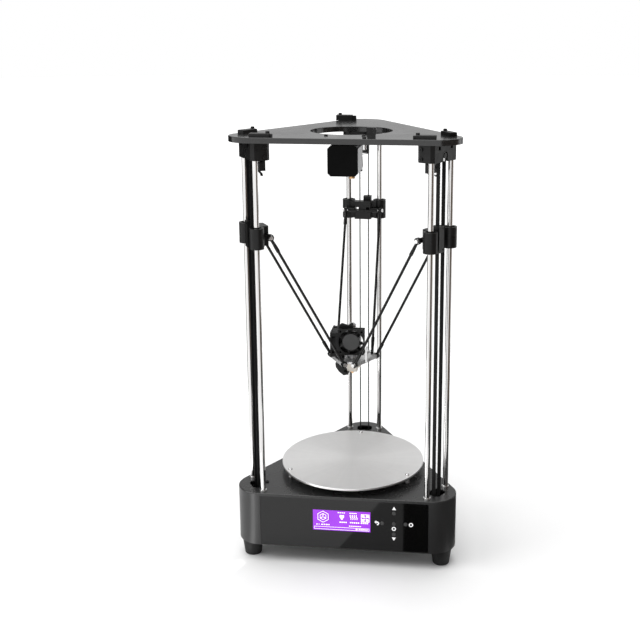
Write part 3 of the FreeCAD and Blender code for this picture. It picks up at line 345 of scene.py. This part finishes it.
def paint(node, default, rules=()):
    """default material on a CAD node, and others on the faces whose centre (mm) a rule accepts."""
    o = NODES[node]
    me = o.data
    me.materials.clear()
    me.materials.append(M[default])
    index = {default: 0}
    for key, _ in rules:
        if key not in index:
            me.materials.append(M[key])
            index[key] = len(me.materials) - 1
    for p in me.polygons:
        k = 0
        if rules:
            c = p.center * 1000.0
            for key, test in rules:
                if test(c.x, c.y, c.z, p.normal):
                    k = index[key]
                    break
        p.material_index = k
    return o


def local(x, y, deg):
    """Radial and tangential position of a point about a tower direction."""
    a = math.radians(deg)
    return x * math.cos(a) + y * math.sin(a), -x * math.sin(a) + y * math.cos(a)


paint("base_housing", "housing")
paint("base_top_cover", "cover", [("ball", lambda x, y, z, n: z > 109.9)])
paint("rubber_feet", "rubber")
paint("front_panel", "panel")
paint("lcd_display", "inlet", [("lcd", lambda x, y, z, n: y < -109.0 and abs(n.y) > 0.9), ("board", lambda x, y, z, n: y > -100.2)])
for b in ("up", "enter", "down", "left", "right"):
    paint("button_" + b, "button")
paint("control_board", "board", [("inlet", lambda x, y, z, n: y < -98.0 or y > -95.8)])
paint("mainboard", "board", [("inlet", lambda x, y, z, n: z > 38.8), ("screw_bright", lambda x, y, z, n: z < 36.9)])
paint("power_supply", "sheet", [("inlet", lambda x, y, z, n: x > 50.1)])
paint("power_inlet", "inlet", [("screw_bright", lambda x, y, z, n: False)])
paint("power_rocker", "inlet")
paint("tower_rods", "rod")
paint("top_plate", "plate")
paint("corner_brackets", "moulded")
paint("rod_clamps", "moulded")
paint("frame_screws", "screw", [("screw_bright", lambda x, y, z, n: abs(x - 30.4) < 3.3 and abs(y + 99.0) < 3.3 and 620.9 < z < 627.4)])
paint("motor_mounts", "moulded")
paint("drive_motors", "motor")
paint("drive_belts", "belt")
paint("endstop_switches", "moulded")
for k in "abc":
    paint("drive_pulley_" + k, "pulley")
    paint("idler_pulley_" + k, "pulley")
    paint("carriage_" + k, "moulded")
    paint("carriage_hardware_" + k, "bearing", [("ball", lambda x, y, z, n, d=TOWERS[k]: local(x, y, d)[0] < 143.0)])
for n in ("arm_a_inner", "arm_a_outer", "arm_b_inner", "arm_b_outer", "arms_c"):
    paint(n, "arm")
paint("effector_plate", "effector")
paint("effector_ball_pins", "ball")
paint("hotend_heatsink", "sink")
paint("heater_block", "heater")
paint("nozzle", "brass")
paint("tube_fitting", "brass")
paint("hotend_fan_frame", "moulded_soft")
paint("part_fan_frame", "moulded_soft")
paint("hotend_fan_rotor", "moulded_soft", [("hub", lambda x, y, z, n: n.y < -0.9 and (x - 0.5) ** 2 + (z - 320.2) ** 2 < 13.35 ** 2)])
paint("part_fan_rotor", "moulded_soft", [("hub", lambda x, y, z, n: n.x < -0.9 and (y + 2.0) ** 2 + (z - 314.4) ** 2 < 13.35 ** 2)])
paint("fan_bracket_duct", "moulded")
paint("extruder_motor", "motor", [("laminated", lambda x, y, z, n: -88.5 < y < -62.0)])
paint("extruder_bracket", "screw", [("moulded", lambda x, y, z, n: x > 33.0)])
paint("feeder_body", "moulded")
paint("feeder_gear", "brass")
paint("feeder_lever", "moulded")
paint("heated_bed", "bed")
paint("bed_screws", "screw_bright")
paint("bed_springs", "spring")


# ------------------------------------------------------------ added pieces
def link_mesh(name, bm, material, body, smooth=False):
    me = bpy.data.meshes.new(name)
    bm.normal_update()
    bm.to_mesh(me)
    bm.free()
    o = bpy.data.objects.new(name, me)
    scene.collection.objects.link(o)
    me.materials.append(M[material])
    if smooth:
        for p in me.polygons:
            p.use_smooth = True
    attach(o, body)
    return o


def slab(bm, points, y0, y1):
    """Closed outline in X and Z (mm), as a thin plate between y0 and y1."""
    n = len(points)
    area = sum(points[i][0] * points[(i + 1) % n][1] - points[(i + 1) % n][0] * points[i][1] for i in range(n))
    if area < 0:
        points = points[::-1]
    front = [bm.verts.new((x * MM, y0 * MM, z * MM)) for x, z in points]
    back = [bm.verts.new((x * MM, y1 * MM, z * MM)) for x, z in points]
    bm.faces.new(front)
    bm.faces.new(back[::-1])
    for i in range(n):
        j = (i + 1) % n
        bm.faces.new((front[j], front[i], back[i], back[j]))


def ring_slab(bm, cx, cz, r_out, r_in, y0, y1, n=32, a0=0.0, a1=2 * math.pi):
    closed = abs(a1 - a0 - 2 * math.pi) < 1e-6
    count = n if closed else n + 1
    rows = []
    for i in range(count):
        a = a0 + (a1 - a0) * i / n
        c, s = math.cos(a), math.sin(a)
        rows.append([bm.verts.new(((cx + r * c) * MM, y * MM, (cz + r * s) * MM)) for r, y in ((r_out, y0), (r_out, y1), (r_in, y1), (r_in, y0))])
    for i in range(count if closed else count - 1):
        a, b = rows[i], rows[(i + 1) % count]
        for k in range(4):
            m = (k + 1) % 4
            bm.faces.new((a[k], a[m], b[m], b[k]))
    if not closed:
        bm.faces.new(rows[0][::-1])
        bm.faces.new(rows[-1])


def bar(bm, x0, x1, z0, z1, y0, y1):
    slab(bm, [(x0, z0), (x1, z0), (x1, z1), (x0, z1)], y0, y1)


def stroke(bm, pts, w, y0, y1):
    """A line of width w through pts, as overlapping-free quads joined end to end."""
    left, right = [], []
    for i, (x, z) in enumerate(pts):
        a = pts[max(i - 1, 0)]
        b = pts[min(i + 1, len(pts) - 1)]
        dx, dz = b[0] - a[0], b[1] - a[1]
        k = math.hypot(dx, dz)
        nx, nz = -dz / k * w / 2, dx / k * w / 2
        left.append((x + nx, z + nz))
        right.append((x - nx, z - nz))
    slab(bm, left + right[::-1], y0, y1)


def panel_icons():
    y0, y1 = -109.58, -109.48
    bm = bmesh.new()
    slab(bm, [(71.5, 94.2), (77.5, 94.2), (74.5, 99.4)], y0, y1)
    slab(bm, [(71.4, 50.3), (77.4, 50.3), (74.4, 45.1)], y0, y1)
    ring_slab(bm, 74.4, 64.1, 3.2, 1.7, y0, y1)
    ring_slab(bm, 99.5, 71.7, 3.2, 1.7, y0, y1)
    # back arrow: a solid head and a short curved tail
    slab(bm, [(45.6, 73.4), (48.6, 76.2), (48.6, 74.6), (50.6, 74.6), (52.4, 73.2), (52.8, 71.2), (51.8, 69.2), (49.4, 68.6), (49.4, 70.2), (50.6, 70.8), (50.8, 71.9), (50.0, 72.4), (48.6, 72.4), (48.6, 70.8)], y0, y1)
    return link_mesh("panel_icons", bm, "icon_ink_painted_glow", "root")


def lcd_graphics():
    y0, y1 = -109.28, -109.18
    bm = bmesh.new()
    # part shown as a cube in a ring of six sides
    cx, cz = -30.6, 77.6
    ring_slab(bm, cx, cz, 9.3, 8.5, y0, y1, 6, math.pi / 6, math.pi / 6 + 2 * math.pi)
    ring_slab(bm, cx, cz, 5.4, 4.6, y0, y1, 6, math.pi / 6, math.pi / 6 + 2 * math.pi)
    for a in (90, 210, 330):
        c, s = math.cos(math.radians(a)), math.sin(math.radians(a))
        stroke(bm, [(cx + 0.6 * c, cz + 0.6 * s), (cx + 4.4 * c, cz + 4.4 * s)], 0.8, y0, y1)
    # row of dashes under it
    for i, w in enumerate((1.6, 0.8, 2.4, 2.4, 2.4, 1.6)):
        x = -40.6 + i * 3.6
        bar(bm, x, x + w, 64.4, 66.0, y0, y1)
    # nozzle
    slab(bm, [(-5.8, 81.6), (0.6, 81.6), (0.6, 78.2), (-0.8, 76.6), (-1.8, 74.4), (-3.4, 74.4), (-4.4, 76.6), (-5.8, 78.2)], y0, y1)
    # warm plate: four waves
    for k in range(4):
        x = 10.4 + k * 3.0
        pts = [(x + 0.8 * math.sin(t * math.pi / 4), 75.0 + t * 0.95) for t in range(9)]
        stroke(bm, pts, 0.9, y0, y1)
    # fan: four blades in a square frame
    fx, fz = 32.0, 78.2
    bar(bm, fx - 6.2, fx + 6.2, fz + 5.4, fz + 6.2, y0, y1)
    bar(bm, fx - 6.2, fx + 6.2, fz - 6.2, fz - 5.4, y0, y1)
    bar(bm, fx - 6.2, fx - 5.4, fz - 5.3, fz + 5.3, y0, y1)
    bar(bm, fx + 5.4, fx + 6.2, fz - 5.3, fz + 5.3, y0, y1)
    for a in (45, 135, 225, 315):
        pts = []
        for r, d in ((1.2, -14), (5.6, -26), (6.2, 2), (5.2, 24), (1.2, 20)):
            b = math.radians(a + d)
            pts.append((fx + r * math.cos(b), fz + r * math.sin(b)))
        slab(bm, pts, y0, y1)
    # dashes above and below the three symbols
    for x, n in ((-8.6, 4), (8.8, 4)):
        for i in range(n):
            bar(bm, x + i * 2.9, x + i * 2.9 + 1.9, 84.6, 85.9, y0, y1)
    for x, n in ((-6.0, 4), (9.6, 5), (25.6, 4)):
        for i in range(n):
            bar(bm, x + i * 2.9, x + i * 2.9 + 1.9, 69.3, 71.1, y0, y1)
    for i in range(6):
        bar(bm, 8.0 + i * 3.1, 10.2 + i * 3.1, 64.0, 65.2, y0, y1)
    # progress line with its frame
    bar(bm, -44.0, 38.0, 61.4, 61.9, y0, y1)
    bar(bm, -44.0, 38.0, 57.6, 58.1, y0, y1)
    bar(bm, -44.0, -43.5, 58.2, 61.3, y0, y1)
    bar(bm, 37.5, 38.0, 58.2, 61.3, y0, y1)
    bar(bm, 18.0, 20.6, 58.9, 60.6, y0, y1)
    for i in range(5):
        bar(bm, 22.4 + i * 2.8, 24.4 + i * 2.8, 59.1, 60.4, y0, y1)
    return link_mesh("lcd_graphics", bm, "lcd_ink", "root")


def toothed_belt(k):
    """Closed belt: a plain back with a tooth every 2 mm on the inner side."""
    deg = TOWERS[k]
    a = math.radians(deg)
    er = Vector((math.cos(a), math.sin(a), 0))
    et = Vector((-math.sin(a), math.cos(a), 0))
    z_lo, z_hi = 58.0, 611.0
    straight = z_hi - z_lo
    mid = 6.95
    loop = 2 * straight + 2 * math.pi * mid
    count = int(round(loop / 2.0))

    def at(s, r, radial):
        s = s % loop
        arc = math.pi * mid
        if s < straight:
            t, z = -r, z_lo + s
        elif s < straight + arc:
            b = (s - straight) / mid
            t, z = -r * math.cos(b), z_hi + r * math.sin(b)
        elif s < 2 * straight + arc:
            t, z = r, z_hi - (s - straight - arc)
        else:
            b = (s - 2 * straight - arc) / mid
            t, z = r * math.cos(b), z_lo - r * math.sin(b)
        return (er * radial + et * t + Vector((0, 0, z))) * MM

    bm = bmesh.new()
    profile = []
    step = loop / count
    for i in range(count):
        s = i * step
        profile += [(s, 6.95), (s + 0.35 * step, 6.95), (s + 0.45 * step, 6.22), (s + 0.80 * step, 6.22), (s + 0.90 * step, 6.95)]
    rings = []
    for s, r in profile:
        rings.append([bm.verts.new(at(s, r, 152.05)), bm.verts.new(at(s, 7.58, 152.05)), bm.verts.new(at(s, 7.58, 157.95)), bm.verts.new(at(s, r, 157.95))])
    n = len(rings)
    for i in range(n):
        p, q = rings[i], rings[(i + 1) % n]
        for c in range(4):
            d = (c + 1) % 4
            bm.faces.new((p[c], p[d], q[d], q[c]))
    bmesh.ops.recalc_face_normals(bm, faces=bm.faces[:])
    o = link_mesh("belt_toothed_" + k, bm, "belt", "root")
    return o


def bed_screw_heads():
    """Low button heads with a hexagon socket on the three screws of the bed."""
    bm = bmesh.new()
    profile = [(3.3, 123.5), (3.3, 124.0), (3.05, 124.7), (2.4, 125.25), (1.45, 125.4), (1.25, 125.3), (1.25, 124.5)]
    seg = 24
    for deg in (90.0, 210.0, 330.0):
        cx, cy = 103.0 * math.cos(math.radians(deg)), 103.0 * math.sin(math.radians(deg))
        rows = []
        for r, z in profile:
            row = []
            for i in range(seg):
                a = 2 * math.pi * i / seg
                k = r
                if r < 1.4:  # hexagon
                    k = r * math.cos(math.pi / 6) / math.cos((a % (math.pi / 3)) - math.pi / 6)
                row.append(bm.verts.new(((cx + k * math.cos(a)) * MM, (cy + k * math.sin(a)) * MM, z * MM)))
            rows.append(row)
        bm.faces.new(rows[0][::-1])
        bm.faces.new(rows[-1])
        for p, q in zip(rows, rows[1:]):
            for i in range(seg):
                j = (i + 1) % seg
                bm.faces.new((p[i], p[j], q[j], q[i]))
    bmesh.ops.recalc_face_normals(bm, faces=bm.faces[:])
    return link_mesh("bed_screw_heads", bm, "screw_bright", "bed")


panel_icons()
lcd_graphics()
bed_screw_heads()
belts = [toothed_belt(k) for k in "abc"]
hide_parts("drive_belts")

# ------------------------------------------------------------ floor, light, camera
bm = bmesh.new()
bmesh.ops.create_circle(bm, cap_ends=True, segments=96, radius=14.0)
me = bpy.data.meshes.new("floor")
bm.to_mesh(me)
bm.free()
floor = bpy.data.objects.new("floor", me)
scene.collection.objects.link(floor)
g = Graph("floor_pale_painted_glow")
x, y, z = g.xyz()
away = g.math("SQRT", g.math("ADD", g.math("MULTIPLY", x, x), g.math("MULTIPLY", y, y)))
# painted glow: the floor gives off light of its own, growing with distance from none at 1.3 m to 0.5 at 5 m, so it
# runs into white far behind the object
me.materials.append(g.set(color=g.ramp(g.noise(2.5, 2, 0.5), [(0.3, 0.80), (0.7, 0.82)]), rough=0.55, spec=0.3,
                          glow=(1, 1, 1), glow_strength=g.remap(away, 1.3, 5.0, 0.0, 0.5)))

world = bpy.data.worlds.new("studio")
scene.world = world
world.use_nodes = True
nt = world.node_tree
nt.nodes.clear()
out = nt.nodes.new("ShaderNodeOutputWorld")
mixw = nt.nodes.new("ShaderNodeMixShader")
path = nt.nodes.new("ShaderNodeLightPath")
seen = nt.nodes.new("ShaderNodeBackground")
seen.inputs[0].default_value = (1, 1, 1, 1)
seen.inputs[1].default_value = 1.0
amb = nt.nodes.new("ShaderNodeBackground")
amb.inputs[0].default_value = (1, 1, 1, 1)
amb.inputs[1].default_value = 0.56
nt.links.new(path.outputs["Is Camera Ray"], mixw.inputs[0])
nt.links.new(amb.outputs[0], mixw.inputs[1])
nt.links.new(seen.outputs[0], mixw.inputs[2])
nt.links.new(mixw.outputs[0], out.inputs[0])


def softbox(name, loc, target, size, power, size_y=None):
    d = bpy.data.lights.new(name, "AREA")
    d.shape = "RECTANGLE"
    d.size = size
    d.size_y = size_y or size
    d.energy = power
    o = bpy.data.objects.new(name, d)
    scene.collection.objects.link(o)
    o.location = loc
    o.rotation_euler = (Vector(target) - Vector(loc)).to_track_quat("-Z", "Y").to_euler()
    return o


softbox("key", (-2.2, -1.0, 1.9), (0, 0, 0.35), 1.5, 24)
softbox("top", (0.0, 0.9, 2.6), (0, 0, 0.15), 2.4, 32)
sun = bpy.data.lights.new("sky_panel", "SUN")
sun.energy = 1.6
sun.angle = math.radians(55)
so = bpy.data.objects.new("sky_panel", sun)
scene.collection.objects.link(so)
so.rotation_euler = Vector((0.25, 0.15, -1.0)).to_track_quat("-Z", "Y").to_euler()


def card(name, azimuth, width_deg, dist, z0, z1, shade):
    """A dark upright board beside the object, seen only in reflections."""
    bm = bmesh.new()
    n = 6
    cols = []
    for i in range(n + 1):
        a = math.radians(azimuth + width_deg * (i / n - 0.5))
        x, y = dist * math.sin(a), -dist * math.cos(a)
        cols.append((bm.verts.new((x, y, z0)), bm.verts.new((x, y, z1))))
    for i in range(n):
        bm.faces.new((cols[i][0], cols[i + 1][0], cols[i + 1][1], cols[i][1]))
    me = bpy.data.meshes.new(name)
    bm.to_mesh(me)
    bm.free()
    o = bpy.data.objects.new(name, me)
    scene.collection.objects.link(o)
    g = Graph(name + "_cloth")
    me.materials.append(g.set(color=g.ramp(g.noise(5, 2, 0.5), [(0.3, tuple(c * 0.9 for c in shade)), (0.7, shade)]), rough=0.9, spec=0.1))
    o.visible_camera = False
    o.visible_shadow = False
    o.visible_diffuse = False
    return o


card("card_right", 64, 72, 0.75, 0.02, 1.5, (0.13, 0.105, 0.09))
card("card_left", -118, 50, 0.75, 0.02, 1.5, (0.02, 0.02, 0.02))
card("card_back_right", 134, 16, 0.75, 0.02, 1.5, (0.03, 0.03, 0.03))


def floor_card(name, points, shade, z, glow=0.0):
    """A dark cloth on the floor in front of the panel, seen only in its reflection."""
    bm = bmesh.new()
    bm.faces.new([bm.verts.new((x, y, z)) for x, y in points])
    me = bpy.data.meshes.new(name)
    bm.to_mesh(me)
    bm.free()
    o = bpy.data.objects.new(name, me)
    scene.collection.objects.link(o)
    g = Graph(name + "_cloth")
    me.materials.append(g.set(color=g.ramp(g.noise(5, 2, 0.5), [(0.3, shade * 0.9), (0.7, shade)]), rough=0.9, spec=0.05,
                              glow=(1, 1, 1), glow_strength=glow))
    o.visible_camera = False
    o.visible_shadow = False
    o.visible_diffuse = False


floor_card("cloth_mid", [(-0.0287, -0.110), (-0.0132, -0.163), (0.0315, -0.3155), (0.0563, -0.40), (0.0658, -0.40), (0.0723, -0.3155), (0.0842, -0.160), (0.088, -0.110)], 0.36, 0.0006)
floor_card("cloth_dark", [(0.088, -0.110), (0.0842, -0.160), (0.0723, -0.3155), (0.0658, -0.40), (0.42, -0.40), (0.42, -0.110)], 0.012, 0.0006)
floor_card("cloth_side", [(0.20, -0.09), (0.425, -0.38), (0.30, -0.62), (0.55, -1.00), (1.10, -0.80), (1.25, -0.10), (1.05, 0.45), (0.50, 0.50), (0.20, 0.10)], 0.05, 0.0007)
floor_card("glow_left", [(-0.146, -0.115), (-0.291, -0.44), (-0.396, -0.371), (-0.158, -0.107)], 0.9, 0.0008, 3.0)

cam = bpy.data.cameras.new("camera")
camera = bpy.data.objects.new("camera", cam)
scene.collection.objects.link(camera)
cam.sensor_width = 36.0
cam.lens = 57.18
cam.shift_x = -0.0803
cam.shift_y = -0.0998
camera.location = (0.19264, -1.46782, 0.78967)
yaw, pitch, roll = 0.111, 0.227, 0.001
forward = Vector((-math.sin(yaw) * math.cos(pitch), math.cos(yaw) * math.cos(pitch), -math.sin(pitch)))
q = forward.to_track_quat("-Z", "Y")
camera.rotation_mode = "QUATERNION"
camera.rotation_quaternion = q
scene.camera = camera
